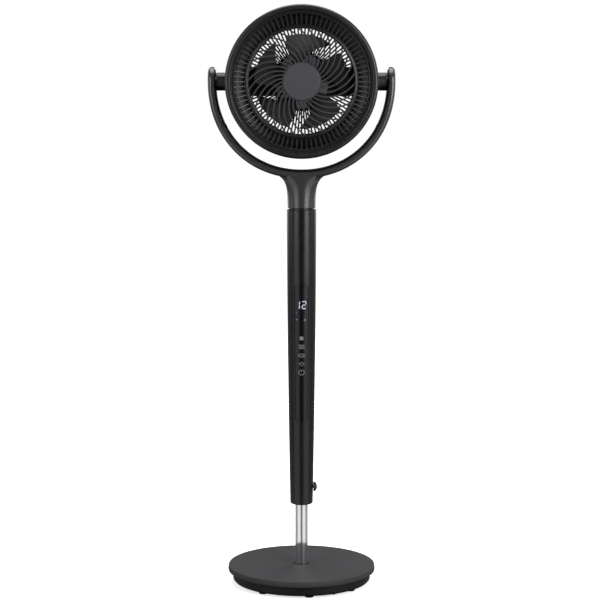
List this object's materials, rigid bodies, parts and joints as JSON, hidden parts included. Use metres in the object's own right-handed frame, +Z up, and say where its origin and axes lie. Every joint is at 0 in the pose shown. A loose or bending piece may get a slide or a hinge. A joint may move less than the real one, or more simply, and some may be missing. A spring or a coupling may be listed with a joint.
{
  "type": "pedestal fan",
  "caption": "Air-circulator pedestal fan: round ribbed head tilting in a U yoke, oscillating on a slim control column that slides on a chrome pole in a weighted disc base.",
  "frame": {"origin": "floor level on the column's axis, the centre of the round base", "axes": "+Z up along the column, front of the head faces -Y, tilt axis along X"},
  "size_m": [0.32, 0.258, 1.0056],
  "materials": {
    "charcoal_plastic": "satin, fine grain",
    "black_plastic": "satin",
    "gloss_black": "gloss",
    "grey_plastic": "satin",
    "nylon": "matt",
    "ballast": "cast, matt",
    "rubber": "matt",
    "steel_black": "black oxide",
    "steel": "machined",
    "chrome": "polished",
    "brass": "machined",
    "copper": "lacquered windings on laminations",
    "alloy": "die cast",
    "board_green": "solder mask",
    "lead_black": "matt",
    "smoke_plastic": "smoked translucent, semi-gloss"
  },
  "bodies": {
    "base": {"base_cover": "charcoal_plastic", "base_tray": "black_plastic", "base_weight": "ballast", "base_feet": "rubber", "pole_socket": "black_plastic", "base_screws": "steel_black", "chrome_pole": "chrome", "pole_guide": "nylon"},
    "column": {"column_front": "charcoal_plastic", "column_rear": "charcoal_plastic", "column_liner": "steel", "column_bush": "nylon", "clamp_housing": "black_plastic", "liner_saddles": "black_plastic", "column_screws": "steel_black", "column_head": "black_plastic", "thrust_washer": "black_plastic", "control_panel": "gloss_black", "control_board": "board_green", "display_module": "black_plastic", "touch_springs": "brass", "osc_motor": "steel", "osc_motor_screws": "steel", "dc_inlet": "black_plastic", "column_lead": "lead_black"},
    "osc_drive": {"osc_pinion": "brass"},
    "clamp": {"clamp_shoe": "nylon"},
    "lock": {"lock_knob": "black_plastic", "lock_screw": "steel"},
    "yoke": {"yoke_shell": "charcoal_plastic", "yoke_inner_cover": "black_plastic", "yoke_screws": "steel_black", "osc_spindle": "steel", "spindle_screws": "steel", "osc_gear": "nylon", "spindle_clip": "steel", "pivot_pin": "steel", "tilt_shaft": "steel", "pivot_covers": "charcoal_plastic", "yoke_lead": "lead_black"},
    "head": {"drum_shell": "black_plastic", "air_duct": "gloss_black", "front_rim": "black_plastic", "front_grille": "black_plastic", "hub_cap": "grey_plastic", "rear_grille": "black_plastic", "rear_cover": "black_plastic", "motor_bridge": "black_plastic", "motor_plate": "alloy", "motor_stator": "copper", "motor_bearings": "steel", "motor_board": "board_green", "tilt_motor": "steel", "pivot_bosses": "black_plastic", "pivot_bushes": "nylon", "head_screws": "steel_black"},
    "fan": {"impeller": "smoke_plastic", "motor_rotor": "steel", "motor_shaft": "steel", "impeller_nut": "black_plastic"}
  },
  "joints": [
    {"name": "height_adjust", "type": "slide", "parent": "base", "child": "column", "axis": [0, 0, 1], "range_m": [-0.1, 0.06]},
    {"name": "oscillation", "type": "hinge", "parent": "column", "child": "yoke", "pos_m": [0, 0, 0.6588], "axis": [0, 0, 1], "range_deg": [-45, 45]},
    {"name": "osc_pinion_spin", "type": "hinge", "parent": "column", "child": "osc_drive", "pos_m": [0, 0.0147, 0.632], "axis": [0, 0, 1], "range_deg": [-115, 115]},
    {"name": "head_tilt", "type": "hinge", "parent": "yoke", "child": "head", "pos_m": [0, 0, 0.8756], "axis": [1, 0, 0], "range_deg": [-90, 20]},
    {"name": "fan_spin", "type": "hinge", "parent": "head", "child": "fan", "pos_m": [0, 0, 0.8756], "axis": [0, 1, 0], "continuous": true},
    {"name": "clamp_slide", "type": "slide", "parent": "column", "child": "clamp", "axis": [1, 0, 0], "range_m": [0, 0.001]},
    {"name": "lock_turn", "type": "hinge", "parent": "clamp", "child": "lock", "pos_m": [0.0258, 0, 0.1693], "axis": [1, 0, 0], "range_deg": [0, 360]}
  ],
  "couplings": [
    {"joint": "osc_pinion_spin", "follows": "oscillation", "ratio": -2.5},
    {"joint": "lock_turn", "follows": "clamp_slide", "rad_per_m": 6283.2}
  ]
}
